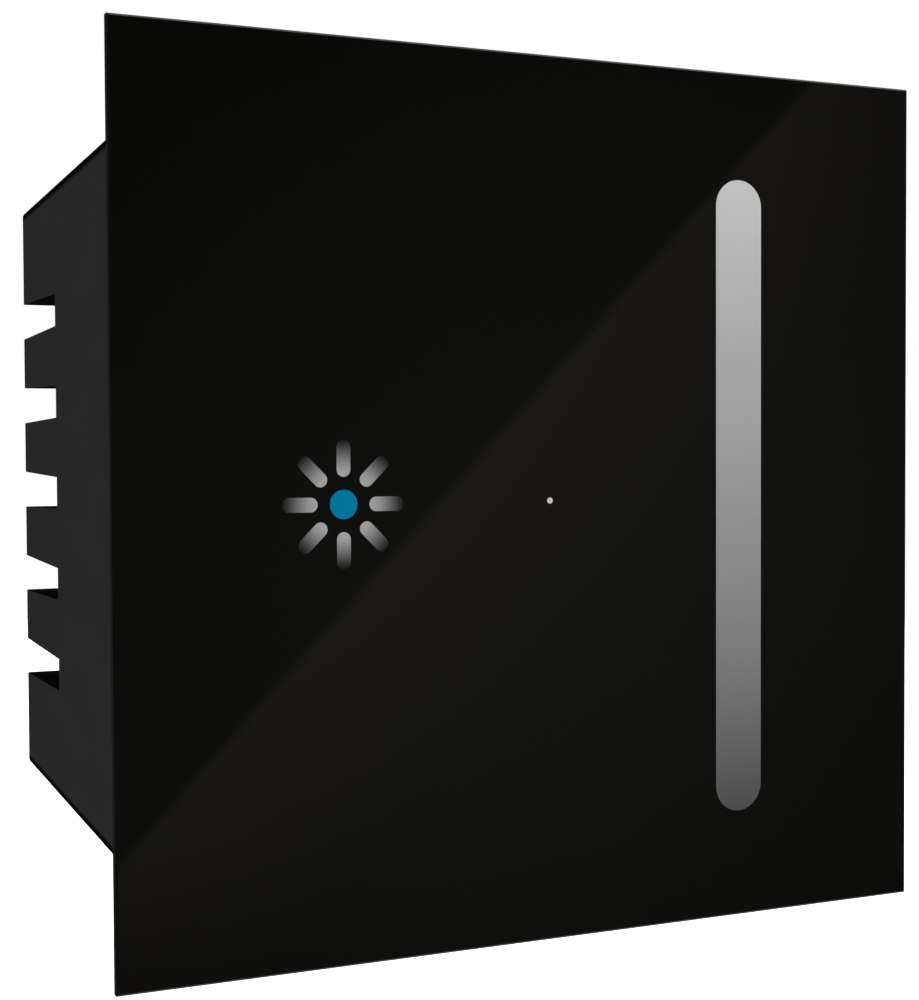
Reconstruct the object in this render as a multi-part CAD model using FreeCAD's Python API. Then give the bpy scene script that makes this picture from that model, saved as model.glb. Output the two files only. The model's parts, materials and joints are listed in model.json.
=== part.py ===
"""Flush-mounted touch dimmer: black glass front with a slider bar and a sun mark, on a vented housing.

Frame, in millimetres: X to the viewer's right, Y into the wall, Z up. The origin is the centre of the
wall plane, on the rear face of the steel support frame. The glass faces -Y and stands in front of the
wall; the housing reaches behind it, to +Y.
"""
import FreeCAD, Part
import math
import os

os.makedirs("parts", exist_ok=True)

V = FreeCAD.Vector
INTO_WALL = V(0, 1, 0)

# Driving dimensions: the front module, from the glass back to the wall plane
glass_size = 86.0          # square front
glass_thick = 1.2
glass_bevel = 0.2          # ground edge, front and back
guide_flange = 0.8         # the light guides' flanges, bonded behind the glass
lens_fit = 0.02            # gap round each light guide in its cut-out
led_gap = 0.3
led_height = 0.6
led_side = 1.4
led_row = 9                # diodes behind the slider
touch_board_thick = 0.8
chip_side = 6.0
chip_height = 0.9
chip_z = 6.0
tape_thick = 0.2
carrier_inset = 1.5        # how far the carrier stays inside the glass edge
rim_width = 3.0            # the carrier's bonding rim
skirt_wall = 1.2
carrier_floor = 1.0
floor_gap = 0.3            # carrier floor to support frame
frame_thick = 1.0
skirt_gap = 0.3            # skirt to wall

# The marks on the glass
slider_side = 21.3         # glass edge to the slider's middle
slider_end = 10.8          # glass edge to the slider's end
slider_width = 5.4
flange_margin = 1.0        # how far a flange reaches round its lens
sun_side = 21.6            # glass edge to the sun's middle
sun_dot_r = 1.36
ray_count = 8
ray_width = 1.36
ray_inner = 2.55
ray_outer = 6.0
status_r = 0.3

# The rear housing
housing_depth = 47.5       # wall plane to rear face
housing_inset = 1.5        # glass edge to the housing's side, at the wall plane
housing_height = 66.0      # at the wall plane
housing_rise = 0.6         # the housing's middle above the glass's middle
draft = math.tan(math.radians(1.73))
housing_wall = 2.0
edge_round = 0.6
vent_count = 5
vent_pitch = 9.55
vent_back_width = 4.0
vent_draft = 0.017         # each vent face, mm per mm of depth
vent_length = 20.0
vent_wrap = 8.0            # how far a vent runs round into the rear wall
boss_r = 3.2
boss_sink = 0.8            # how far a boss merges into the rear corner's walls
rib_thick = 1.6
post_r = 2.8
post_gap = 0.5             # space between a board post and the corner boss above it

# Support frame and cover
frame_gap = 0.3            # frame edge to skirt
frame_corner = 3.0
mount_edge = 4.0           # frame edge to a mounting hole's middle
mount_hole_r = 2.1
mount_access_r = 3.9       # room for a mounting screw's head
window_gap = 1.5           # frame window to the snap posts beside it
cover_thick = 2.0
cover_fit = 0.15
snap_x = 29.0
snap_z = 21.0
snap_r = 1.5
snap_fit = 0.05
snap_grip = 1.6            # how deep a snap post reaches into the cover
snap_lead = 0.5            # chamfer at a snap post's tip

# Screws
case_screw_r = 1.2
case_head_r = 2.4
case_head_h = 1.0
case_screw_grip = 8.0
board_screw_r = 1.0
board_head_r = 1.8
board_head_h = 1.4
board_screw_grip = 6.0
thread_fit = 0.02
hole_fit = 0.25
drive_width = 0.6          # cross recess
drive_depth = 0.6
drive_share = 0.55         # how far a cross recess reaches, as a share of the head
head_edge = 0.3            # chamfer round a screw's head

# Boards inside the housing
control_y = 3.5            # front face of the control board
control_thick = 1.2
control_x = 44.0
control_z = 30.0
stake_x = 18.5             # the cover's stakes that hold the control board
stake_z = 11.0
stake_r = 1.0
stake_foot_r = 2.2
shield_x = 18.0
shield_z = 12.0
shield_height = 2.2
shield_wall = 0.4
link_count = 6             # pins between the two boards
link_pitch = 2.54
link_side = 0.64
link_z = 11.0
link_body = 2.5
rear_room = 19.0           # front face of the power board to the housing's rear face
power_thick = 1.6
power_x = 62.0
power_gap = 2.68           # the power board's upper and lower edges to the housing's walls
board_hole_edge = 3.5      # the power board's side edge to a screw's middle

# Components on the power board: their places from its middle or its edges, and their sizes
part_gap = 0.4             # space kept between neighbours
core_side = 10.0           # board's left edge to the transformer's middle
core_rise = -1.1
core_width = 18.0
core_depth = 8.0
core_height = 14.0
core_leg = 3.2
coil_over = 4.0            # how far the winding bulges past the core
coil_fit = 0.1
coil_round = 2.2
row_edge = 8.1             # board's upper edge to the middle of the row below it
film_size = (18.0, 14.0, 9.0)
film_edge = 0.6
can_r = 4.0
can_height = 14.0
can_edge = 0.5
can_side = 6.9             # board's lower edge to the cans' middles
choke_x = 1.5
choke_rise = -3.1
choke_r = 7.5
choke_hole_r = 2.8
choke_height = 8.0
choke_edge = 1.6
fuse_r = 3.8
fuse_height = 8.0
absorber_x = 4.5
absorber_r = 5.5
absorber_thick = 4.0
absorber_stand = 1.5
absorber_edge = 1.2
lead_r = 0.4
lead_step = 2.54
sink_side = 8.5            # board's right edge to the middle of the sink's plate
sink_rise = -1.6
sink_plate = 2.0
sink_width = 22.0
sink_height = 15.0
fin_count = 5
fin_reach = 6.5
fin_thick = 1.2
transistor_width = 10.0
transistor_height = 11.0
transistor_thick = 4.4
transistor_stand = 3.0
transistor_bevel = 0.5
transistor_end = 5.5       # sink's end to a transistor's middle

# Plug between the front module and the control board
pin_count = 8
pin_pitch = 2.0
pin_side = 0.5
pin_fit = 0.05
pin_reach = 3.6
plug_z = -6.0
plug_wall = 1.6
plug_base = 1.1
plug_tip_gap = 0.6

# Terminals
pole_count = 4
pole_pitch = 10.0
block_end = 0.7            # block wall past the last pole's half pitch
block_back_gap = 0.6       # block face inside the housing's rear face
block_low_gap = 0.4
block_height = 14.0
block_fit = 0.3
clamp_screw_r = 1.75
clamp_head_r = 2.8
clamp_head_h = 2.0
clamp_slot = 1.0
clamp_pitch = 0.7
clamp_turns = 5
cage_wall = 0.8
cage_edge = 0.4
cage_leg = 1.0
cage_top = 1.6
cage_length = 6.4
wire_gap = 4.4
wire_width = 4.6
bar_thick = 1.2
bar_gap = 0.1
bar_sink = 1.5
tag_width = 2.0
tag_stick = 0.6
seat_thick = 1.0
run_fit = 0.1
cage_fit = 0.05

over = 1.0                 # how far a cutting tool runs past what it cuts

# Planes across the stack, from the wall plane forwards
floor_back = -(frame_thick + floor_gap)
floor_front = floor_back - carrier_floor
board_front = floor_front - touch_board_thick
led_front = board_front - led_height
guide_back = led_front - led_gap
glass_back = guide_back - guide_flange
glass_front = glass_back - glass_thick
rim_front = glass_back + tape_thick
carrier_half = glass_size / 2 - carrier_inset
rim_half = carrier_half - rim_width
skirt_half = carrier_half - skirt_wall
frame_half = skirt_half - frame_gap
touch_half = rim_half - hole_fit
mount_z = frame_half - mount_edge
slider_x = glass_size / 2 - slider_side
slider_length = glass_size - 2 * slider_end
sun_x = sun_side - glass_size / 2
window_half_x = snap_x - snap_r - window_gap
window_half_z = snap_z - snap_r - window_gap
clamp_travel = clamp_pitch * clamp_turns


def box(x0, x1, y0, y1, z0, z1):
    """A block between two corners."""
    return Part.makeBox(x1 - x0, y1 - y0, z1 - z0, V(x0, y0, z0))


def slab(half_x, half_z, y0, y1, z_mid=0.0):
    """A block centred on X = 0 and on z_mid, between two depths."""
    return box(-half_x, half_x, y0, y1, z_mid - half_z, z_mid + half_z)


def rod(x, z, r, y0, y1):
    """A round bar along Y."""
    return Part.makeCylinder(r, y1 - y0, V(x, y0, z), INTO_WALL)


def stadium(x, z, length, width, y0, y1, turn=0.0):
    """A bar with round ends along Y's cross-section: its long axis is Z, turned by some degrees."""
    r = width / 2
    reach = length / 2 - r
    a, b = V(x - r, y0, z - reach), V(x - r, y0, z + reach)
    c, d = V(x + r, y0, z + reach), V(x + r, y0, z - reach)
    wire = Part.Wire([
        Part.makeLine(a, b), Part.Arc(b, V(x, y0, z + reach + r), c).toShape(),
        Part.makeLine(c, d), Part.Arc(d, V(x, y0, z - reach - r), a).toShape()])
    solid = Part.Face(wire).extrude(V(0, y1 - y0, 0))
    if turn:
        solid.rotate(V(x, y0, z), INTO_WALL, turn)
    return solid


def fuse(shapes):
    """One solid from several that touch or overlap."""
    shapes = list(shapes)
    return shapes[0].multiFuse(shapes[1:]).removeSplitter() if len(shapes) > 1 else shapes[0]


def cut(shape, tools):
    """A shape less each of the tools."""
    return shape.cut(Part.makeCompound(list(tools)))


def edges_along(shape, axis, where=lambda e: True):
    """The straight edges that run along one axis and pass a test."""
    found = []
    for edge in shape.Edges:
        if edge.Curve.TypeId != "Part::GeomLine":
            continue
        way = edge.tangentAt(edge.FirstParameter)
        if abs(way.dot(axis)) > 0.99 and where(edge):
            found.append(edge)
    return found


def circles_at(shape, y):
    """The round edges that lie in one plane across Y."""
    return [e for e in shape.Edges
            if e.Curve.TypeId == "Part::GeomCircle" and abs(e.CenterOfMass.y - y) < 0.01]


def save(name, shape):
    """Write one node, a solid or a group of separate solids."""
    solids = shape.Solids
    shape = solids[0] if len(solids) == 1 else Part.makeCompound(solids)
    shape.exportStep("parts/" + name + ".step")


# The marks: each is a cut-out in the glass and the lens of a light guide that fills it
def slider_bar(grow, y0, y1):
    """The slider's outline, grown by a margin all round."""
    return stadium(slider_x, 0, slider_length + 2 * grow, slider_width + 2 * grow, y0, y1)


def rays(grow, y0, y1):
    """The sun's rays, spaced evenly round its dot."""
    middle = sun_x, (ray_inner + ray_outer) / 2
    solids = []
    for k in range(ray_count):
        ray = stadium(*middle, ray_outer - ray_inner + 2 * grow, ray_width + 2 * grow, y0, y1)
        ray.rotate(V(sun_x, 0, 0), INTO_WALL, 360.0 * k / ray_count)
        solids.append(ray)
    return solids


def front_glass():
    """Square sheet with a ground edge, cut out for the light guides."""
    half = glass_size / 2
    sheet = slab(half, half, glass_front, glass_back)
    outline = edges_along(sheet, V(1, 0, 0)) + edges_along(sheet, V(0, 0, 1))
    sheet = sheet.makeChamfer(glass_bevel, outline)
    far = glass_front - over, glass_back + over
    return cut(sheet, [slider_bar(lens_fit, *far), rod(sun_x, 0, sun_dot_r + lens_fit, *far),
                       rod(0, 0, status_r + lens_fit, *far)] + rays(lens_fit, *far))


def slider_light_guide():
    return fuse([slider_bar(0, glass_front, glass_back),
                 slider_bar(flange_margin, glass_back, guide_back)])


def ray_light_guide():
    """Eight ray lenses on one ring-shaped flange."""
    ring = rod(sun_x, 0, ray_outer + flange_margin, glass_back, guide_back).cut(
        rod(sun_x, 0, sun_dot_r + flange_margin / 2 + lens_fit * 5, glass_back, guide_back))
    return fuse([ring] + rays(0, glass_front, glass_back))


def round_light_guide(x, r):
    """A round lens with a wider flange behind the glass."""
    return fuse([rod(x, 0, r, glass_front, glass_back),
                 rod(x, 0, r + flange_margin / 2, glass_back, guide_back)])


def bonding_tape():
    return slab(carrier_half, carrier_half, glass_back, rim_front).cut(
        slab(rim_half, rim_half, glass_back, rim_front))


def snap_places():
    return [(sx * snap_x, sz * snap_z) for sx in (-1, 1) for sz in (-1, 1)]


def case_screw_places():
    return [(sx * boss_x, housing_rise + sz * boss_z) for sx in (-1, 1) for sz in (-1, 1)]


def plug_half(wall):
    """Half the length of the plug's body, for a given end wall."""
    return (pin_count - 1) * pin_pitch / 2 + wall


def front_carrier():
    """Moulded tray: bonding rim, skirt round the support frame, floor with snap posts."""
    tray = slab(carrier_half, carrier_half, rim_front, -skirt_gap)
    tray = tray.makeFillet(skirt_wall, edges_along(tray, INTO_WALL))
    hollow = [slab(rim_half, rim_half, rim_front - over, floor_front),
              slab(skirt_half, skirt_half, floor_back, over),
              slab(plug_half(plug_wall) + hole_fit, plug_wall + hole_fit, floor_front, floor_back, plug_z),
              slab(chip_side / 2 + hole_fit, chip_side / 2 + hole_fit, floor_front, floor_back, chip_z)]
    hollow += [rod(x, z, case_head_r + hole_fit, floor_front, floor_back) for x, z in case_screw_places()]
    hollow += [rod(0, s * mount_z, mount_access_r, floor_front, floor_back) for s in (-1, 1)]
    tray = cut(tray, hollow)
    posts = []
    for x, z in snap_places():
        post = rod(x, z, snap_r, floor_back, snap_grip)
        posts.append(post.makeChamfer(snap_lead, circles_at(post, snap_grip)))
    return fuse([tray] + posts)


def touch_board():
    """Circuit board behind the glass, notched over the two mounting screws."""
    board = slab(touch_half, touch_half, board_front, floor_front)
    notch = [stadium(0, s * touch_half, 2 * (touch_half - mount_z + mount_access_r),
                     2 * mount_access_r, board_front, floor_front) for s in (-1, 1)]
    return cut(board, notch)


def board_leds():
    """Light-emitting diodes, one behind each lit mark and a row behind the slider."""
    places = [(0, 0), (sun_x, 0)]
    middle = (ray_inner + ray_outer) / 2
    for k in range(ray_count):
        a = 2 * math.pi * k / ray_count
        places.append((sun_x + middle * math.sin(a), middle * math.cos(a)))
    step = slider_length / led_row
    places += [(slider_x, (k - (led_row - 1) / 2) * step) for k in range(led_row)]
    half = led_side / 2
    return Part.makeCompound([box(x - half, x + half, led_front, board_front, z - half, z + half)
                              for x, z in places])


def touch_controller():
    return slab(chip_side / 2, chip_side / 2, floor_front, floor_front + chip_height, chip_z)


def pins(count, pitch, side, y0, y1, z, grow=0.0):
    """A row of square pins, or the holes for them when grown."""
    h = side / 2 + grow
    return [box(x - h, x + h, y0, y1, z - h, z + h)
            for x in ((k - (count - 1) / 2) * pitch for k in range(count))]


def header_base():
    body = slab(plug_half(plug_wall), plug_wall, floor_front, floor_front + plug_base, plug_z)
    return cut(body, pins(pin_count, pin_pitch, pin_side, floor_front, floor_front + plug_base,
                          plug_z, thread_fit))


def header_pins():
    return Part.makeCompound(pins(pin_count, pin_pitch, pin_side, floor_front,
                                  floor_front + plug_base + pin_reach, plug_z))


def socket_header():
    """Socket on the control board that the front module's pins plug into."""
    front = floor_front + plug_base + run_fit
    body = slab(plug_half(plug_wall), plug_wall, front, control_y, plug_z)
    return cut(body, pins(pin_count, pin_pitch, pin_side, front - over,
                          front + pin_reach + plug_tip_gap - run_fit, plug_z, pin_fit))


# The housing: a drafted tub, so its sizes are functions of the depth
def housing_half(y, inset=0.0):
    """Half width and half height of the housing at one depth."""
    lean = draft * y + inset
    return glass_size / 2 - housing_inset - lean, housing_height / 2 - lean


def drafted_block(y0, y1, inset):
    """The tub's outer or inner form between two depths: a block whose four sides lean inwards."""
    front_x, front_z = housing_half(y0, inset)
    rear_x, rear_z = housing_half(y1, inset)
    return Part.makeWedge(-front_x, y0, housing_rise - front_z, housing_rise - rear_z, -rear_x,
                          front_x, y1, housing_rise + front_z, housing_rise + rear_z, rear_x)


rear_inner = housing_depth - housing_wall
boss_x = housing_half(rear_inner, housing_wall)[0] - boss_r + boss_sink
boss_z = housing_half(rear_inner, housing_wall)[1] - boss_r + boss_sink
power_y = housing_depth - rear_room
power_back = power_y + power_thick
power_half_x = power_x / 2
power_half_z = housing_half(power_back, housing_wall)[1] - power_gap
board_hole_x = power_half_x - board_hole_edge
board_hole_z = boss_z - boss_r - post_r - post_gap
row_z = power_half_z - row_edge

block_half = pole_count * pole_pitch / 2 + block_end
block_back = housing_depth - block_back_gap
block_low = housing_rise - housing_half(housing_depth)[1] + block_low_gap
block_high = block_low + block_height


def vent_cutters():
    """Wedges that open the side walls from the rear, wider at the back, and wrap into the rear wall."""
    solids = []
    start, end = housing_depth - vent_length, housing_depth + over
    back, front = vent_back_width / 2 + vent_draft, vent_back_width / 2 - vent_draft * vent_length
    inner, outer = housing_half(housing_depth)[0] - vent_wrap, glass_size / 2
    for k in range(vent_count):
        z = housing_rise + (k - (vent_count - 1) / 2) * vent_pitch
        for side in (-1, 1):
            x = side * inner
            wire = Part.makePolygon([V(x, start, z - front), V(x, end, z - back), V(x, end, z + back),
                                     V(x, start, z + front), V(x, start, z - front)])
            solids.append(Part.Face(wire).extrude(V(side * (outer - inner), 0, 0)))
    return solids


def corner_boss(x, z):
    """Screw boss in a corner, tied to both walls by ribs."""
    sx, sz = math.copysign(1, x), math.copysign(1, z - housing_rise)
    hx, hz = housing_half(cover_thick, housing_wall / 2)
    top = cover_thick
    wide = sorted((x, sx * hx))
    high = sorted((z, housing_rise + sz * hz))
    boss = rod(x, z, boss_r, top, rear_inner + housing_wall / 2)
    side_rib = box(*wide, top, rear_inner, z - rib_thick / 2, z + rib_thick / 2)
    end_rib = box(x - rib_thick / 2, x + rib_thick / 2, top, rear_inner, *high)
    return [boss, side_rib, end_rib]


def board_hole_places():
    """Two screws, in opposite corners of the power board."""
    return [(s * board_hole_x, housing_rise - s * board_hole_z) for s in (-1, 1)]


def rear_housing():
    """Moulded tub with drafted walls, rounded edges, corner bosses, board posts and side vents."""
    outer = drafted_block(0, housing_depth, 0)
    rounded = [e for e in outer.Edges if e.CenterOfMass.y > edge_round]
    tub = outer.makeFillet(edge_round, rounded)
    tub = tub.cut(drafted_block(-over, rear_inner, housing_wall))
    limit = drafted_block(0, rear_inner + housing_wall / 2, housing_wall / 2)
    inside = []
    for x, z in case_screw_places():
        inside += [s.common(limit) for s in corner_boss(x, z)]
    for x, z in board_hole_places():
        inside.append(rod(x, z, post_r, power_back, rear_inner + housing_wall / 2))
    tub = fuse([tub] + inside)
    tools = vent_cutters()
    tools += [rod(x, z, case_screw_r + thread_fit, 0, cover_thick + case_screw_grip + over)
              for x, z in case_screw_places()]
    tools += [rod(x, z, board_screw_r + thread_fit, power_back - over, power_back + board_screw_grip + over)
              for x, z in board_hole_places()]
    tools.append(box(-block_half - block_fit, block_half + block_fit, power_back - block_fit,
                     housing_depth + over, -housing_height, block_high + block_fit))
    return cut(tub, tools)


def pan_screw(x, z, seat, r, head_r, head_h, grip):
    """Pan-head screw along Y, its head in front of the seat, with a cross recess."""
    head = rod(x, z, head_r, seat - head_h, seat)
    head = head.makeChamfer(head_edge, circles_at(head, seat - head_h))
    shank = rod(x, z, r, seat, seat + grip)
    half, reach = drive_width / 2, head_r * drive_share
    top, low = seat - head_h - over, seat - head_h + drive_depth
    recess = [box(x - half, x + half, top, low, z - reach, z + reach),
              box(x - reach, x + reach, top, low, z - half, z + half)]
    return cut(fuse([head, shank]), recess)


def housing_screws():
    """Four screws that draw the support frame and the cover onto the housing's bosses."""
    grip = frame_thick + cover_thick + case_screw_grip
    return Part.makeCompound([pan_screw(x, z, -frame_thick, case_screw_r, case_head_r, case_head_h, grip)
                              for x, z in case_screw_places()])


def board_screws():
    grip = power_thick + board_screw_grip
    return Part.makeCompound([pan_screw(x, z, power_y, board_screw_r, board_head_r, board_head_h, grip)
                              for x, z in board_hole_places()])


def support_frame():
    """Pressed steel plate with a window, two mounting holes and the screw and snap holes."""
    plate = slab(frame_half, frame_half, -frame_thick, 0)
    plate = plate.makeFillet(frame_corner, edges_along(plate, INTO_WALL))
    window = slab(window_half_x, window_half_z, -frame_thick, 0)
    window = window.makeFillet(frame_corner, edges_along(window, INTO_WALL))
    tools = [window]
    tools += [rod(0, s * mount_z, mount_hole_r, -frame_thick, 0) for s in (-1, 1)]
    tools += [rod(x, z, case_screw_r + hole_fit, -frame_thick, 0) for x, z in case_screw_places()]
    tools += [rod(x, z, snap_r + hole_fit, -frame_thick, 0) for x, z in snap_places()]
    return cut(plate, tools)


def housing_cover():
    """Moulded lid inside the housing's rim, with snap sockets and two stakes for the control board."""
    hx, hz = housing_half(cover_thick, housing_wall + cover_fit)
    parts = [slab(hx, hz, 0, cover_thick, housing_rise)]
    for s in (-1, 1):
        parts.append(rod(s * stake_x, stake_z, stake_foot_r, cover_thick, control_y))
        parts.append(rod(s * stake_x, stake_z, stake_r, control_y, control_y + control_thick + stake_r))
    lid = fuse(parts)
    tools = [rod(x, z, case_screw_r + hole_fit, 0, cover_thick) for x, z in case_screw_places()]
    tools += [rod(x, z, snap_r + snap_fit, 0, cover_thick) for x, z in snap_places()]
    tools.append(slab(plug_half(plug_wall) + hole_fit, plug_wall + hole_fit, 0, cover_thick, plug_z))
    return cut(lid, tools)


def control_board():
    board = slab(control_x / 2, control_z / 2, control_y, control_y + control_thick)
    return cut(board, [rod(s * stake_x, stake_z, stake_r + snap_fit, control_y, control_y + control_thick)
                       for s in (-1, 1)])


def radio_shield():
    """Drawn metal can over the radio, open towards the board."""
    y0 = control_y + control_thick
    can = slab(shield_x / 2, shield_z / 2, y0, y0 + shield_height, plug_z)
    rims = [e for e in can.Edges if e.CenterOfMass.y > y0 + 0.01]
    can = can.makeChamfer(shield_wall / 2, rims)
    return can.cut(slab(shield_x / 2 - shield_wall, shield_z / 2 - shield_wall, y0,
                        y0 + shield_height - shield_wall, plug_z))


def link_spacer():
    """Spacer strip that holds the long pins between the two boards."""
    y0 = control_y + control_thick
    half = link_count * link_pitch / 2
    strip = slab(half, link_pitch / 2, y0, y0 + link_body, link_z)
    return cut(strip, pins(link_count, link_pitch, link_side, y0, y0 + link_body, link_z, thread_fit))


def link_pins():
    return Part.makeCompound(pins(link_count, link_pitch, link_side, control_y + control_thick,
                                  power_y, link_z))


def power_board():
    """Mains board, with holes for its screws and solder tags, and room for the housing's corner bosses."""
    board = slab(power_half_x, power_half_z, power_y, power_back, housing_rise)
    tools = [rod(x, z, board_screw_r + hole_fit, power_y, power_back) for x, z in board_hole_places()]
    clear_x, clear_z = boss_x - boss_r - hole_fit, boss_z - boss_r - hole_fit
    for low, high in ((-glass_size, -clear_x), (clear_x, glass_size)):
        tools += [box(low, high, power_y, power_back, housing_rise + clear_z, glass_size),
                  box(low, high, power_y, power_back, -glass_size, housing_rise - clear_z)]
    half_x, half_z = tag_width / 2 + run_fit, bar_thick / 2 + run_fit
    tools += [box(x - half_x, x + half_x, power_y, power_back, tag_z - half_z, tag_z + half_z)
              for x in pole_places()]
    return cut(board, tools)


# Terminals: rising clamps, one for each pole
def pole_places():
    return [(k - (pole_count - 1) / 2) * pole_pitch for k in range(pole_count)]


cage_half_x = wire_width / 2 + cage_wall
pocket_low = power_back + seat_thick
leg_y = pocket_low + run_fit
wire_y = leg_y + cage_leg
bar_y = wire_y + wire_gap
bar_back = bar_y + bar_thick
cage_end = bar_back + bar_gap + cage_top
pocket_high = cage_end + clamp_travel + run_fit
head_seat = pocket_high + seat_thick
cage_z = block_low + block_height / 2
tag_z = block_high - bar_thick / 2 - seat_thick
clamp_hole_r = clamp_screw_r + run_fit


def terminal_block():
    """Moulded block: for each pole a clamp pocket, a wire entry below and a screw well behind."""
    block = box(-block_half, block_half, power_back, block_back, block_low, block_high)
    block = block.makeFillet(edge_round, edges_along(block, V(1, 0, 0),
                                                     lambda e: e.CenterOfMass.y > block_back - 0.01))
    tools = []
    for x in pole_places():
        half = cage_half_x + cage_fit
        reach = cage_length / 2 + run_fit
        tools.append(box(x - half, x + half, pocket_low, pocket_high, cage_z - reach, cage_z + reach))
        tools.append(box(x - wire_width / 2, x + wire_width / 2, wire_y, bar_y, block_low - over, cage_z))
        tools.append(rod(x, cage_z, clamp_hole_r, pocket_high, head_seat))
        tools.append(rod(x, cage_z, clamp_head_r + run_fit * 2, head_seat, block_back + over))
        tools.append(bar_shape(x, thread_fit))
    return cut(block, tools)


def bar_shape(x, grow=0.0):
    """Bent contact bar: a tongue through the clamp and a tag down to the board."""
    half = wire_width / 2 - run_fit + grow
    low = cage_z - cage_length / 2 - bar_sink
    tongue = box(x - half, x + half, bar_y - grow, bar_back + grow, low - grow, tag_z + bar_thick / 2 + grow)
    tag_half = tag_width / 2 + grow
    tag_end = power_y - tag_stick if grow == 0 else power_back - over
    tag = box(x - tag_half, x + tag_half, tag_end, bar_back + grow,
              tag_z - bar_thick / 2 - grow, tag_z + bar_thick / 2 + grow)
    return fuse([tongue, tag])


def clamp_screw(x):
    """Terminal screw: slotted head in its well, plain shank through the cage."""
    head = rod(x, cage_z, clamp_head_r, head_seat, head_seat + clamp_head_h)
    top = head_seat + clamp_head_h
    head = head.makeChamfer(head_edge, circles_at(head, top))
    shank = rod(x, cage_z, clamp_screw_r, bar_back + bar_gap * 2, head_seat)
    slot = box(x - drive_width / 2, x + drive_width / 2, top - clamp_slot, top + over,
               cage_z - clamp_head_r, cage_z + clamp_head_r)
    return fuse([head, shank]).cut(slot)


def clamp_cage(x):
    """Rolled steel loop: a threaded end on the screw, two sides and the leg that lifts the wire."""
    y0, y1 = leg_y, cage_end
    z0, z1 = cage_z - cage_length / 2, cage_z + cage_length / 2
    loop = box(x - cage_half_x, x + cage_half_x, y0, y1, z0, z1)
    loop = loop.makeChamfer(cage_edge, edges_along(loop, V(0, 0, 1)))
    hollow = box(x - wire_width / 2, x + wire_width / 2, wire_y, y1 - cage_top, z0 - over, z1 + over)
    return cut(loop, [hollow, rod(x, cage_z, clamp_screw_r + cage_fit, y1 - cage_top - over, y1 + over)])


# Components on the power board, all standing on its front face
def on_board(x0, x1, height, z0, z1):
    """A block that stands on the power board."""
    return box(x0, x1, power_y - height, power_y, z0, z1)


def front_edges(shape):
    """All edges that don't lie on the power board."""
    return [e for e in shape.Edges if e.CenterOfMass.y < power_y - lead_r]


def transformer_core():
    """Ferrite core of two E halves: an outer ring with a middle leg."""
    x, z = core_side - power_half_x, housing_rise + core_rise
    x0, x1, z0, z1 = x - core_width / 2, x + core_width / 2, z - core_depth / 2, z + core_depth / 2
    low, high = power_y - core_height + core_leg, power_y - core_leg
    windows = [box(x0 + core_leg, x - core_leg, low, high, z0, z1),
               box(x + core_leg, x1 - core_leg, low, high, z0, z1)]
    return cut(on_board(x0, x1, core_height, z0, z1), windows)


def transformer_coil():
    """Taped winding round the core's middle leg, bulging above and below the core."""
    x, z = core_side - power_half_x, housing_rise + core_rise
    half = core_width / 2 - core_leg - coil_fit
    reach = core_depth / 2
    low, high = power_y - core_height + core_leg + coil_fit, power_y - core_leg - coil_fit
    coil = box(x - half, x + half, low, high, z - reach - coil_over, z + reach + coil_over)
    coil = coil.makeFillet(coil_round, edges_along(coil, INTO_WALL))
    hole = box(x - core_leg - coil_fit, x + core_leg + coil_fit, low - over, high + over,
               z - reach - coil_fit, z + reach + coil_fit)
    return coil.cut(hole)


def filter_capacitor():
    """Box film capacitor."""
    wide, high, deep = film_size
    x, z = board_head_r + part_gap + wide / 2 - board_hole_x, housing_rise + row_z
    body = on_board(x - wide / 2, x + wide / 2, high, z - deep / 2, z + deep / 2)
    return body.makeChamfer(film_edge, front_edges(body))


def storage_capacitors():
    """Two electrolytic cans, each between the solder tags of two poles."""
    cans = []
    for x in (-pole_pitch, pole_pitch):
        can = rod(x, housing_rise + can_side - power_half_z, can_r, power_y - can_height, power_y)
        cans.append(can.makeChamfer(can_edge, circles_at(can, power_y - can_height)))
    return Part.makeCompound(cans)


def mains_choke():
    """Wound ring lying flat on the board."""
    z = housing_rise + choke_rise
    front = power_y - choke_height
    ring = rod(choke_x, z, choke_r, front, power_y).cut(rod(choke_x, z, choke_hole_r, front, power_y))
    return ring.makeChamfer(choke_edge, circles_at(ring, front))


def mains_fuse():
    """Radial fuse in a round cap."""
    x = board_hole_x - board_head_r - part_gap - fuse_r
    cap = rod(x, housing_rise + row_z, fuse_r, power_y - fuse_height, power_y)
    return cap.makeChamfer(film_edge, circles_at(cap, power_y - fuse_height))


def surge_absorber():
    """Coated disc standing on edge on two leads."""
    x, z = absorber_x, housing_rise + row_z
    y = power_y - absorber_stand - absorber_r
    disc = Part.makeCylinder(absorber_r, absorber_thick, V(x, y, z - absorber_thick / 2), V(0, 0, 1))
    disc = disc.makeChamfer(absorber_edge, [e for e in disc.Edges if e.Curve.TypeId == "Part::GeomCircle"])
    leads = [on_board(lead - lead_r, lead + lead_r, power_y - y, z - lead_r, z + lead_r)
             for lead in (x - lead_step, x + lead_step)]
    return fuse([disc] + leads)


def heat_sink():
    """Extruded aluminium comb that stands on the board."""
    x, z = power_half_x - sink_side, housing_rise + sink_rise
    low, high = z - sink_width / 2, z + sink_width / 2
    plate = on_board(x - sink_plate / 2, x + sink_plate / 2, sink_height, low, high)
    step = (sink_width - fin_thick) / (fin_count - 1)
    fins = [on_board(x - sink_plate / 2, x + sink_plate / 2 + fin_reach, sink_height,
                     low + k * step, low + k * step + fin_thick) for k in range(fin_count)]
    return fuse([plate] + fins)


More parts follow.
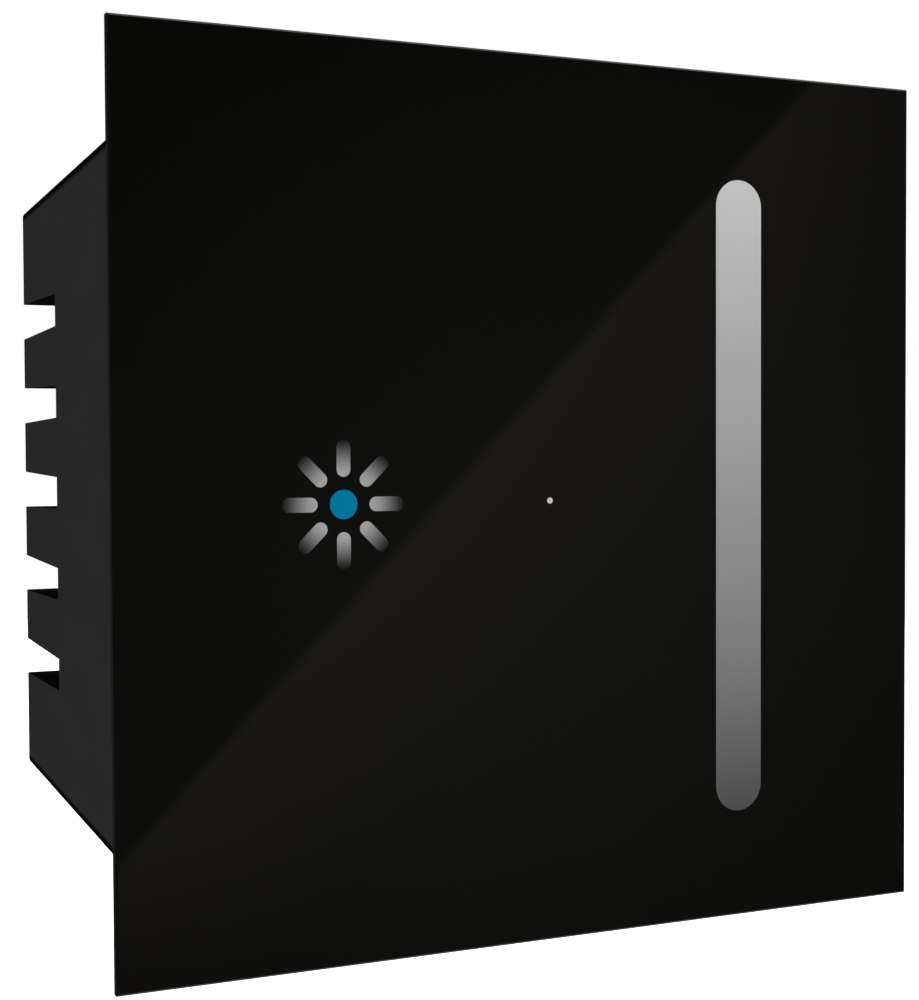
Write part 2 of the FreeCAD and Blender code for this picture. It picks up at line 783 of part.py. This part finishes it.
def power_transistors():
    """Two packages against the heat sink, each on three leads."""
    middle = housing_rise + sink_rise
    x1 = power_half_x - sink_side - sink_plate / 2
    x0 = x1 - transistor_thick
    low = power_y - transistor_stand
    solids = []
    for s in (-1, 1):
        z = middle + s * (sink_width / 2 - transistor_end)
        body = box(x0, x1, low - transistor_height, low, z - transistor_width / 2, z + transistor_width / 2)
        body = body.makeChamfer(transistor_bevel, [e for e in body.Edges if e.CenterOfMass.x < x0 + 0.01])
        leads = [box((x0 + x1) / 2 - lead_r, (x0 + x1) / 2 + lead_r, low, power_y,
                     z + k * lead_step - lead_r, z + k * lead_step + lead_r) for k in (-1, 0, 1)]
        solids.append(fuse([body] + leads))
    return Part.makeCompound(solids)


save("front_glass", front_glass())
save("bonding_tape", bonding_tape())
save("slider_light_guide", slider_light_guide())
save("ray_light_guide", ray_light_guide())
save("centre_lens", round_light_guide(sun_x, sun_dot_r))
save("status_light_pipe", round_light_guide(0, status_r))
save("front_carrier", front_carrier())
save("touch_board", touch_board())
save("board_leds", board_leds())
save("touch_controller", touch_controller())
save("header_base", header_base())
save("header_pins", header_pins())
save("support_frame", support_frame())
save("housing_cover", housing_cover())
save("housing_screws", housing_screws())
save("rear_housing", rear_housing())
save("control_board", control_board())
save("socket_header", socket_header())
save("radio_shield", radio_shield())
save("link_spacer", link_spacer())
save("link_pins", link_pins())
save("power_board", power_board())
save("board_screws", board_screws())
save("transformer_core", transformer_core())
save("transformer_coil", transformer_coil())
save("filter_capacitor", filter_capacitor())
save("storage_capacitors", storage_capacitors())
save("mains_choke", mains_choke())
save("mains_fuse", mains_fuse())
save("surge_absorber", surge_absorber())
save("heat_sink", heat_sink())
save("power_transistors", power_transistors())
save("terminal_block", terminal_block())
save("terminal_bars", Part.makeCompound([bar_shape(x) for x in pole_places()]))
for number, place in enumerate(pole_places(), 1):
    save("terminal_screw_%d" % number, clamp_screw(place))
    save("terminal_cage_%d" % number, clamp_cage(place))
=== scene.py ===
"""Looks of a flush wall dimmer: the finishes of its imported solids, a pale studio and the camera.

Every shape is a solid of the frame, so nothing is added to the object here and nothing on it is replaced.
"""
import json
import math

import bpy
import numpy as np
from mathutils import Matrix, Vector

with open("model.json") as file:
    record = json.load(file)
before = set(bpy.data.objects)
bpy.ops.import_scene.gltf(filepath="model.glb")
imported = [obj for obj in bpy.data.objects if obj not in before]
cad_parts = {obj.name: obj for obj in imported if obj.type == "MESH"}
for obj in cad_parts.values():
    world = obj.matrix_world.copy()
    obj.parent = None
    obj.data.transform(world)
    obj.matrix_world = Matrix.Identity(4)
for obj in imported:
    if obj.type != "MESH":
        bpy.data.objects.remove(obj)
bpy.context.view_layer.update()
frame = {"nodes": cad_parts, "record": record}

NODES = frame["nodes"]
MM = 0.001

# Places on the object in mm, as in the solids
GLASS_FRONT = -6.0
SUN_X = -21.4
RAY_INNER, RAY_OUTER = 2.55, 6.0
SLIDER_HALF = 32.2
HOUSING_HALF = 33.0        # half the housing's height at the wall plane
HOUSING_RISE = 0.6         # the housing's middle above the glass's middle
DRAFT = 0.0302             # mm that its top and bottom draw in per mm of depth
VENT_REACH = 29.0          # every vent face lies nearer the housing's middle height than this

# Where the housing's colour is painted near black as shade: its edge radii, a band beside the long edges, its
# vent faces
EDGE_NORMAL = (0.998, 0.975)   # the largest part of a normal where an edge radius starts, and well on it
SHADE_BAND = (1.25, 0.8)    # mm inside the long edges where the band of painted shade starts, and where it is full
FACING = 0.9                   # the part of its normal along an axis that makes a face count as facing it


def linear(hex_colour):
    """Linear colour of an sRGB hex one: c / 12.92 up to 0.04045, else ((c + 0.055) / 1.055) to the 2.4."""
    parts = [int(hex_colour[i:i + 2], 16) / 255 for i in (1, 3, 5)]
    return tuple(c / 12.92 if c <= 0.04045 else ((c + 0.055) / 1.055) ** 2.4 for c in parts) + (1.0,)


def add(tree, kind, inputs=None, stops=(), **settings):
    """Adds a shader node; each input takes a value, or the node or output that feeds it. A ramp's stops are
    its two ends and then the steps between them, each a place and a colour."""
    node = tree.nodes.new("ShaderNode" + kind)
    for name, value in settings.items():
        setattr(node, name, value)
    for key, value in (inputs or {}).items():
        if isinstance(value, bpy.types.Node):
            value = value.outputs[0]
        if isinstance(value, bpy.types.NodeSocket):
            tree.links.new(value, node.inputs[key])
        else:
            node.inputs[key].default_value = value
    for number, (place, colour) in enumerate(stops):
        steps = node.color_ramp.elements
        step = steps[number] if number < 2 else steps.new(place)
        step.position, step.color = place, linear(colour)
    return node


def new_material(name, **fixed):
    """A material with fixed values on its shader; gives its tree, its shader and the object's coordinates."""
    made = bpy.data.materials.new(name)
    made.use_nodes = True
    tree = made.node_tree
    tree.nodes.clear()
    shader = add(tree, "BsdfPrincipled", {key.replace("_", " "): value for key, value in fixed.items()})
    add(tree, "OutputMaterial", {"Surface": shader})
    return made, tree, shader, add(tree, "TexCoord").outputs["Object"]


def dress(tree, shader, shade, gloss, height, depth):
    """Puts a shade, a gloss and a relief of a depth in mm on a shader."""
    relief = add(tree, "Bump", {"Height": height, "Distance": depth * MM})
    for key, source in (("Base Color", shade), ("Roughness", gloss), ("Normal", relief)):
        tree.links.new(source.outputs[0], shader.inputs[key])


def per_mm(size):
    """Texture scale for spots of a size in mm."""
    return 1 / (size * MM)


def moulded(name, dark, light, grain, depth, rough):
    """Moulded, dipped or sintered stuff: the mould's fine grain (mm across and deep), and a faint flow cloud
    40 grains across in shade and gloss."""
    made, tree, shader, place = new_material(name, IOR=1.5)
    grains = add(tree, "TexNoise", {"Vector": place, "Scale": per_mm(grain), "Detail": 2.0})
    cloud = add(tree, "TexNoise", {"Vector": place, "Scale": per_mm(grain * 40), "Detail": 3.0})
    shade = add(tree, "MixRGB", {"Fac": cloud, "Color1": linear(dark), "Color2": linear(light)})
    gloss = add(tree, "MapRange", {"Value": cloud, "From Min": 0.3, "From Max": 0.7,
                                   "To Min": rough - 0.05, "To Max": rough + 0.05})
    dress(tree, shader, shade, gloss, grains, depth)
    return made


def plated(name, dark, light, line, stretch, depth, rough):
    """Metal: lines a fraction of a mm apart, drawn out along the way that it was worked."""
    made, tree, shader, place = new_material(name, Metallic=1.0)
    along = add(tree, "Mapping", {"Vector": place, "Scale": tuple(per_mm(line * s) for s in stretch)})
    lines = add(tree, "TexNoise", {"Vector": along, "Scale": 1.0, "Detail": 2.0})
    cloud = add(tree, "TexNoise", {"Vector": place, "Scale": per_mm(3.0), "Detail": 3.0})
    shade = add(tree, "MixRGB", {"Fac": cloud, "Color1": linear(dark), "Color2": linear(light)})
    gloss = add(tree, "MapRange", {"Value": lines, "From Min": 0.3, "From Max": 0.7,
                                   "To Min": rough - 0.06, "To Max": rough + 0.06})
    dress(tree, shader, shade, gloss, lines, depth)
    return made


def housing_plastic():
    """Black ABS from a spark-eroded mould: matt dark grey on the textured walls, with painted shade, a near
    black, on the edge radii, in a narrow band beside the long edges, and on the vent faces, where the gloss is
    also duller and the grain fainter."""
    made, tree, shader, place = new_material("spark_eroded_abs", IOR=1.5, Specular_IOR_Level=0.03)
    facing = add(tree, "VectorMath", {0: add(tree, "TexCoord").outputs["Normal"]}, operation="ABSOLUTE")
    side = add(tree, "SeparateXYZ", {"Vector": facing}).outputs
    spot = add(tree, "SeparateXYZ", {"Vector": place}).outputs
    largest = add(tree, "Math", {0: side[0], 1: side[1]}, operation="MAXIMUM")
    largest = add(tree, "Math", {0: largest, 1: side[2]}, operation="MAXIMUM")
    # The edge radii, found by their normals: one place of painted shade
    radius = add(tree, "MapRange", {"Value": largest, "From Min": EDGE_NORMAL[0], "From Max": EDGE_NORMAL[1]})

    height = add(tree, "Math", {0: spot[2], 1: HOUSING_RISE * MM}, operation="SUBTRACT")
    height = add(tree, "Math", {0: height}, operation="ABSOLUTE")
    undrafted = add(tree, "Math", {0: spot[1], 1: DRAFT, 2: height}, operation="MULTIPLY_ADD")
    # A band beside the long edges, painted with shade
    band = add(tree, "MapRange", {"Value": undrafted, "From Min": (HOUSING_HALF - SHADE_BAND[0]) * MM,
                                  "From Max": (HOUSING_HALF - SHADE_BAND[1]) * MM})
    wall = add(tree, "Math", {0: side[0], 1: FACING}, operation="GREATER_THAN")
    band = add(tree, "Math", {0: band, 1: wall}, operation="MULTIPLY")

    # The vent faces, facing up or down, painted with shade
    vents = add(tree, "Math", {0: height, 1: VENT_REACH * MM}, operation="LESS_THAN")
    vent_shade = add(tree, "Math", {0: side[2], 1: FACING}, operation="GREATER_THAN")
    vent_shade = add(tree, "Math", {0: vent_shade, 1: vents}, operation="MULTIPLY")
    painted_shade = add(tree, "Math", {0: radius, 1: vent_shade}, operation="MAXIMUM")
    painted_shade = add(tree, "Math", {0: painted_shade, 1: band}, operation="MAXIMUM")

    grains = add(tree, "TexNoise", {"Vector": place, "Scale": per_mm(0.12), "Detail": 2.0})
    cloud = add(tree, "TexNoise", {"Vector": place, "Scale": per_mm(6.0), "Detail": 3.0})
    matt = add(tree, "MixRGB", {"Fac": cloud, "Color1": linear("#222222"), "Color2": linear("#262626")})
    # Painted shade: all these places turn near black
    shade = add(tree, "MixRGB", {"Fac": painted_shade, "Color1": matt, "Color2": linear("#010101")})
    gloss = add(tree, "MapRange", {"Value": painted_shade, "To Min": 0.7, "To Max": 1.0})
    level = add(tree, "MapRange", {"Value": painted_shade, "To Min": 1.0, "To Max": 0.1})
    grains = add(tree, "Math", {0: grains, 1: level}, operation="MULTIPLY")
    dress(tree, shader, shade, gloss, grains, 0.003)
    return made


def painted_glass():
    """Float glass with black ceramic enamel fired on its back: a mirror face over a deep, warm black, with the
    float line's long, very shallow waves."""
    made, tree, shader, place = new_material("back_painted_glass", IOR=1.52)
    cloud = add(tree, "TexNoise", {"Vector": place, "Scale": per_mm(20.0), "Detail": 2.0})
    shade = add(tree, "MixRGB", {"Fac": cloud, "Color1": linear("#010101"), "Color2": linear("#020202")})
    gloss = add(tree, "MapRange", {"Value": cloud, "To Min": 0.01, "To Max": 0.025})
    wave = add(tree, "TexNoise", {"Vector": place, "Scale": per_mm(25.0), "Detail": 0.0})
    dress(tree, shader, shade, gloss, wave, 0.0003)
    return made


def light_guide(name, share_of, stops, rough=0.22, level=0.35):
    """Frosted acrylic, ground flush with the glass: a fine 0.1 mm frost, and a colour that runs along the mark
    as its glow does, so that the glow of a lit mark is painted into its colour."""
    made, tree, shader, place = new_material(name, IOR=1.49, Specular_IOR_Level=level)
    frost = add(tree, "TexNoise", {"Vector": place, "Scale": per_mm(0.1), "Detail": 2.0})
    # The mark's colour, which paints its glow where it is lit
    shade = add(tree, "ValToRGB", {"Fac": share_of(tree, place)}, stops)
    gloss = add(tree, "MapRange", {"Value": frost, "To Min": rough - 0.08, "To Max": rough + 0.08})
    dress(tree, shader, shade, gloss, frost, 0.0006)
    return made


def slider_share(tree, place):
    """0 at the slider's lower end, 1 at its upper end."""
    height = add(tree, "SeparateXYZ", {"Vector": place}).outputs[2]
    return add(tree, "MapRange", {"Value": height, "From Min": -SLIDER_HALF * MM, "From Max": SLIDER_HALF * MM})


def ray_share(tree, place):
    """0 at the rays' inner ends, 1 at their outer ends."""
    flat = add(tree, "VectorMath", {0: place, 1: (1, 0, 1)}, operation="MULTIPLY")
    reach = add(tree, "VectorMath", {0: flat, 1: (SUN_X * MM, 0, 0)}, operation="DISTANCE").outputs["Value"]
    return add(tree, "MapRange", {"Value": reach, "From Min": RAY_INNER * MM, "From Max": RAY_OUTER * MM})


def even_share(tree, place):
    """A soft cloud, for a mark of one shade."""
    return add(tree, "TexNoise", {"Vector": place, "Scale": per_mm(1.5), "Detail": 1.0})


def laminate():
    """FR-4, glass cloth pressed in epoxy: its 0.4 mm weave shows faintly under a green solder mask."""
    made, tree, shader, place = new_material("fr4_laminate", IOR=1.55)
    weave = add(tree, "TexChecker", {"Vector": place, "Scale": per_mm(0.4)}).outputs["Fac"]
    cloud = add(tree, "TexNoise", {"Vector": place, "Scale": per_mm(2.0), "Detail": 3.0})
    shade = add(tree, "MixRGB", {"Fac": cloud, "Color1": linear("#0a4530"), "Color2": linear("#136044")})
    gloss = add(tree, "MapRange", {"Value": weave, "To Min": 0.28, "To Max": 0.38})
    dress(tree, shader, shade, gloss, weave, 0.003)
    return made


SLOT_FINISHES = {
    "black_glass": painted_glass(),
    # Frosted acrylic, backlit at its upper end: its glow is painted into its colour, palest at the top and
    # fading downwards
    "grey_light_guide": light_guide("frosted_acrylic_slider", slider_share, [
        (0.0, "#474747"), (1.0, "#bdbdbd"), (0.1, "#5d5d5d"), (0.25, "#767676"), (0.5, "#909090"),
        (0.75, "#a5a5a5")]),
    # Acrylic dyed in the mass: one even blue with hardly a gleam
    "blue_light_guide": light_guide("tinted_acrylic_dot", even_share, [(0.3, "#006e94"), (0.7, "#007096")],
                                    level=0.05),
    # Frosted acrylic rod, 0.6 mm across: an even off-white point
    "white_light_guide": light_guide("frosted_acrylic_pipe", even_share, [(0.3, "#b8b8b5"), (0.7, "#bcbcb9")]),
    # Foamed acrylic, die-cut: a dull black edge with open 0.3 mm cells
    "foam_tape": moulded("acrylic_foam_tape", "#101010", "#181818", 0.3, 0.03, 0.85),
    # Black ABS, moulded with a fine spark-eroded texture: a satin dark grey
    "moulded_black": moulded("textured_abs", "#1c1c1c", "#202020", 0.12, 0.003, 0.6),
    # Grey polyamide, moulded: a soft satin gleam
    "moulded_grey": moulded("satin_polyamide", "#464648", "#525254", 0.15, 0.003, 0.5),
    # Polyamide with glass fibre, moulded: slightly mottled, as fibres lie near the skin
    "terminal_green": moulded("glass_filled_polyamide", "#2a2c2e", "#323436", 0.25, 0.006, 0.5),
    "board_laminate": laminate(),
    # Diode package, moulded in white plastic under clear silicone: creamy and glossy
    "diode_white": moulded("moulded_diode_package", "#dedac4", "#ece8d4", 0.1, 0.002, 0.35),
    # Filled epoxy, transfer moulded: near black and matt
    "chip_epoxy": moulded("moulded_epoxy", "#101012", "#18181a", 0.08, 0.004, 0.55),
    # Gold flashed over nickel on drawn pins: bright yellow lines along each pin
    "pin_gold": plated("gold_flashed_pin", "#c8a85a", "#d6b868", 0.05, (1, 12, 1), 0.001, 0.25),
    # Rolled steel sheet, pressed and zinc plated: a cool grey, with rolling lines across the frame
    "zinc_steel": plated("zinc_plated_sheet", "#a6a9ac", "#b6b8ba", 0.12, (14, 1, 1), 0.003, 0.48),
    # Drawn tinplate: a bright, slightly warm grey with upright lines
    "tin_plate": plated("drawn_tinplate", "#b6b6b2", "#c4c4c0", 0.12, (1, 1, 14), 0.002, 0.3),
    # Cold-headed steel, zinc plated: bright with no direction
    "screw_steel": plated("zinc_plated_screw", "#9a9ca2", "#b0b2b6", 0.08, (1, 1, 1), 0.002, 0.3),
    # Stamped brass, tinned: the yellow shows a little through the tin
    "tinned_brass": plated("tinned_brass", "#bfb48c", "#cfc49c", 0.1, (1, 10, 1), 0.002, 0.34),
    # Ferrite, pressed and sintered: charcoal with a stony grain
    "ferrite": moulded("sintered_ferrite", "#18181b", "#222226", 0.2, 0.01, 0.6),
    # Polyester tape wound over wire: glossy yellow, with soft dents from the turns below
    "winding_tape": moulded("wound_polyester_tape", "#b89222", "#cca62e", 0.6, 0.02, 0.3),
    # Film capacitor, potted in a moulded polyester box: plain satin yellow
    "film_capacitor_box": moulded("potted_polyester_box", "#aea420", "#beb42c", 0.2, 0.003, 0.4),
    # Plastic sleeve shrunk over an aluminium can: blue-black, glossy, slightly wavy
    "capacitor_sleeve": moulded("shrunk_sleeve", "#12141c", "#181a24", 0.5, 0.01, 0.3),
    # Enamelled copper wire wound close: red-brown with ridges a wire apart
    "enamelled_copper": moulded("wound_enamelled_wire", "#7c3a18", "#9a5028", 0.3, 0.02, 0.3),
    # Moulded thermoplastic cap: dark red-brown, fairly glossy
    "fuse_cap": moulded("moulded_fuse_cap", "#4a201a", "#5c2a22", 0.2, 0.004, 0.4),
    # Ceramic disc dipped in epoxy: glossy blue with soft sags
    "disc_coating": moulded("dipped_epoxy", "#1a3c92", "#2448a8", 0.4, 0.01, 0.25),
    # Extruded aluminium, natural anodised: pale grey with die lines along the fins
    "extruded_aluminium": plated("extruded_aluminium", "#b0b2b4", "#bcbebf", 0.1, (1, 14, 1), 0.003, 0.38),
}
NODE_FINISHES = {
    # Frosted acrylic, lit from the sun's middle: its glow is painted into its colour, fading outwards along
    # each ray
    "ray_light_guide": light_guide("frosted_acrylic_rays", ray_share, [
        (0.0, "#9a9a9a"), (1.0, "#0c0c0c"), (0.14, "#959595"), (0.3, "#888888"), (0.5, "#6d6d6d"),
        (0.7, "#4b4b4b"), (0.85, "#2e2e2e")]),
    "rear_housing": housing_plastic(),
    # Black ABS from a smooth mould: darker than the housing, so that the glass seems to float
    "front_carrier": moulded("smooth_abs", "#0d0d0d", "#111111", 0.12, 0.002, 0.6),
}

slot_of = {part["node"]: part["material_slot"] for part in frame["record"]["subparts"]}
for name, node in NODES.items():
    finish = NODE_FINISHES.get(name) or SLOT_FINISHES[slot_of[name]]
    for slot in node.material_slots:
        slot.material = finish


# The camera, as fitted to the photograph
CAMERA_AT = (-80.56, -160.92, 5.42)           # mm
CAMERA_TURN = (-24.59, -1.75, -0.26)          # degrees: round the vertical, upwards, round the view
CAMERA_LENS, CAMERA_SENSOR = 64.66, 36.0      # mm
VIEW_WAY = (0.417, 0.908, -0.031)

# The room that the glass mirrors. Its card lies to the front right and changes shade at one sharp edge, which
# crosses the glass at the gloss line.
GLOSS_LINE = ((30.47, 42.64), (-42.86, -31.49))   # the line's upper and lower end, X and Z in mm
CARD_SPAN = (-0.3, 0.32)                      # share of a direction across the edge, over the card's shades
CARD_PEAK, CARD_FALL = 0.256, -8.45           # share along the edge where the card is palest, and the fall
CARD_TOP, CARD_LEAST = 1.554, 0.25            # levels there and far from there
CARD_FRONT = (0.0, -0.3)                      # share towards the front over which the card fades in
SCREEN_EDGE = (0.985, 0.99)                   # cosine from the view's direction over which the screen starts
SOFT_LIGHT = 0.42                             # the room's level on matt surfaces
# Where the room turns pale: axis, the share of the direction where that starts and ends, level
PALE_SIDES = ((2, 0.35, 0.7, 0.8), (2, -0.35, -0.7, 0.5), (0, -0.45, -0.8, 0.06), (0, 0.68, 0.9, 0.4),
              (1, -0.3, 0.0, 0.04))

# The floor, in m, and how far the camera sees it lifted
FLOOR_RADIUS, FLOOR_HEIGHT, FLOOR_CORNERS = 1.6, -0.16, 96
FLOOR_LIFT = 0.6


def soft_lamp(name, place, side, power):
    """A square soft lamp at a place in metres, turned to the object. Glossy rays see the room's pale sides in
    its stead, so that no lamp shows in the glass."""
    lamp = bpy.data.lights.new(name, "AREA")
    lamp.shape, lamp.size, lamp.energy = "SQUARE", side, power
    thing = bpy.data.objects.new(name, lamp)
    bpy.context.scene.collection.objects.link(thing)
    aim = (-Vector(place)).to_track_quat("-Z", "Y").to_matrix().to_4x4()
    thing.matrix_world = Matrix.Translation(place) @ aim
    thing.visible_glossy = False


def reflected_edge():
    """Two directions: across the plane through the camera's mirror image and the gloss line, and along it."""
    eye = Vector((CAMERA_AT[0], 2 * GLASS_FRONT - CAMERA_AT[1], CAMERA_AT[2]))
    upper, lower = (Vector((x, GLASS_FRONT, z)) for x, z in GLOSS_LINE)
    across = (upper - eye).cross(lower - eye).normalized()
    along = across.cross(Vector((0, 1, 0))).normalized()
    return across, along if along.z > 0 else -along


def studio():
    """White to the camera and a soft grey light on the object. In reflections it is a dim room with a warm
    card to the front right, a white screen behind the object, and a pale ceiling, floor and sides."""
    world = bpy.data.worlds.new("studio")
    bpy.context.scene.world = world
    world.use_nodes = True
    tree = world.node_tree
    tree.nodes.clear()
    rays = add(tree, "LightPath").outputs
    way = add(tree, "TexCoord").outputs["Generated"]
    ahead = add(tree, "SeparateXYZ", {"Vector": way}).outputs

    across, along = reflected_edge()
    beside = add(tree, "VectorMath", {0: way, 1: across}, operation="DOT_PRODUCT").outputs["Value"]
    share = add(tree, "MapRange", {"Value": beside, "From Min": CARD_SPAN[0], "From Max": CARD_SPAN[1]})
    card = add(tree, "ValToRGB", {"Fac": share}, [
        (0.0, "#32322a"), (1.0, "#3a3b37"), (0.161, "#3b3c36"), (0.323, "#454640"), (0.480, "#4b4a45"),
        (0.488, "#6c695d"), (0.565, "#605d56"), (0.645, "#54534e"), (0.806, "#4b4b46")])
    length = add(tree, "VectorMath", {0: way, 1: along}, operation="DOT_PRODUCT").outputs["Value"]
    length = add(tree, "Math", {0: length, 1: CARD_PEAK}, operation="SUBTRACT")
    length = add(tree, "Math", {0: length, 1: length}, operation="MULTIPLY")
    level = add(tree, "Math", {0: length, 1: CARD_FALL, 2: CARD_TOP}, operation="MULTIPLY_ADD")
    level = add(tree, "Math", {0: level, 1: CARD_LEAST}, operation="MAXIMUM")
    front = add(tree, "MapRange", {"Value": ahead[1], "From Min": CARD_FRONT[0], "From Max": CARD_FRONT[1]})
    level = add(tree, "Math", {0: level, 1: front}, operation="MULTIPLY")
    card = add(tree, "VectorMath", {0: card, "Scale": level}, operation="SCALE")

    screen = add(tree, "VectorMath", {0: way, 1: VIEW_WAY}, operation="DOT_PRODUCT").outputs["Value"]
    plain = add(tree, "MapRange", {"Value": screen, "From Min": SCREEN_EDGE[0], "From Max": SCREEN_EDGE[1]})
    for axis, start, end, pale in PALE_SIDES:
        side = add(tree, "MapRange", {"Value": ahead[axis], "From Min": start, "From Max": end, "To Max": pale})
        plain = add(tree, "Math", {0: plain, 1: side}, operation="ADD")
    room = add(tree, "VectorMath", {0: card, 1: plain}, operation="ADD")
    room = add(tree, "VectorMath", {0: room, "Scale": rays["Is Glossy Ray"]}, operation="SCALE")

    soft = add(tree, "Math", {0: rays["Is Diffuse Ray"], 1: SOFT_LIGHT}, operation="MULTIPLY")
    white = add(tree, "Math", {0: rays["Is Camera Ray"], 1: rays["Is Transmission Ray"]}, operation="ADD")
    white = add(tree, "Math", {0: white, 1: soft}, operation="ADD")
    light = add(tree, "VectorMath", {0: room, 1: white}, operation="ADD")
    add(tree, "OutputWorld", {"Surface": add(tree, "Background", {"Color": light, "Strength": 1.0})})


def paper_floor():
    """A round sheet of pale paper below the object, its rim at (radius cos a, radius sin a), lifted to white
    for the camera alone."""
    angles = np.linspace(0, 2 * np.pi, FLOOR_CORNERS, endpoint=False)
    rim = np.stack([FLOOR_RADIUS * np.cos(angles), FLOOR_RADIUS * np.sin(angles),
                    np.full(angles.shape, FLOOR_HEIGHT)], 1)
    mesh = bpy.data.meshes.new("floor")
    mesh.from_pydata(rim.tolist(), [], [tuple(range(len(rim)))])
    sheet = bpy.data.objects.new("floor", mesh)
    bpy.context.scene.collection.objects.link(sheet)
    made = bpy.data.materials.new("studio_paper")
    made.use_nodes = True
    tree = made.node_tree
    tree.nodes.clear()
    seen = add(tree, "LightPath").outputs["Is Camera Ray"]
    lift = add(tree, "Math", {0: seen, 1: FLOOR_LIFT}, operation="MULTIPLY")
    paper = add(tree, "BsdfDiffuse", {"Color": linear("#f2f2f2")})
    glow = add(tree, "Emission", {"Strength": lift})
    add(tree, "OutputMaterial", {"Surface": add(tree, "AddShader", {0: paper, 1: glow})})
    mesh.materials.append(made)
    sheet.visible_glossy = False


def fitted_camera():
    """The scene's camera, at the photograph's place."""
    lens = bpy.data.cameras.new("camera")
    lens.sensor_width, lens.lens, lens.clip_start = CAMERA_SENSOR, CAMERA_LENS, 0.005
    camera = bpy.data.objects.new("camera", lens)
    bpy.context.scene.collection.objects.link(camera)
    turn, lift, roll = (math.radians(angle) for angle in CAMERA_TURN)
    camera.matrix_world = (Matrix.Translation(Vector(CAMERA_AT) * MM) @ Matrix.Rotation(turn, 4, "Z")
                           @ Matrix.Rotation(math.pi / 2 + lift, 4, "X") @ Matrix.Rotation(roll, 4, "Z"))
    bpy.context.scene.camera = camera


soft_lamp("left_lamp", (-1.12, -0.72, 0.1), 1.0, 12.8)
soft_lamp("right_lamp", (1.15, -0.25, 0.3), 1.0, 5.0)
soft_lamp("top_lamp", (0.0, -0.1, 1.2), 1.0, 9.0)
soft_lamp("rear_lamp", (0.75, 1.1, 0.45), 1.0, 12.0)
studio()
paper_floor()
fitted_camera()
bpy.context.scene.view_settings.view_transform = "Standard"
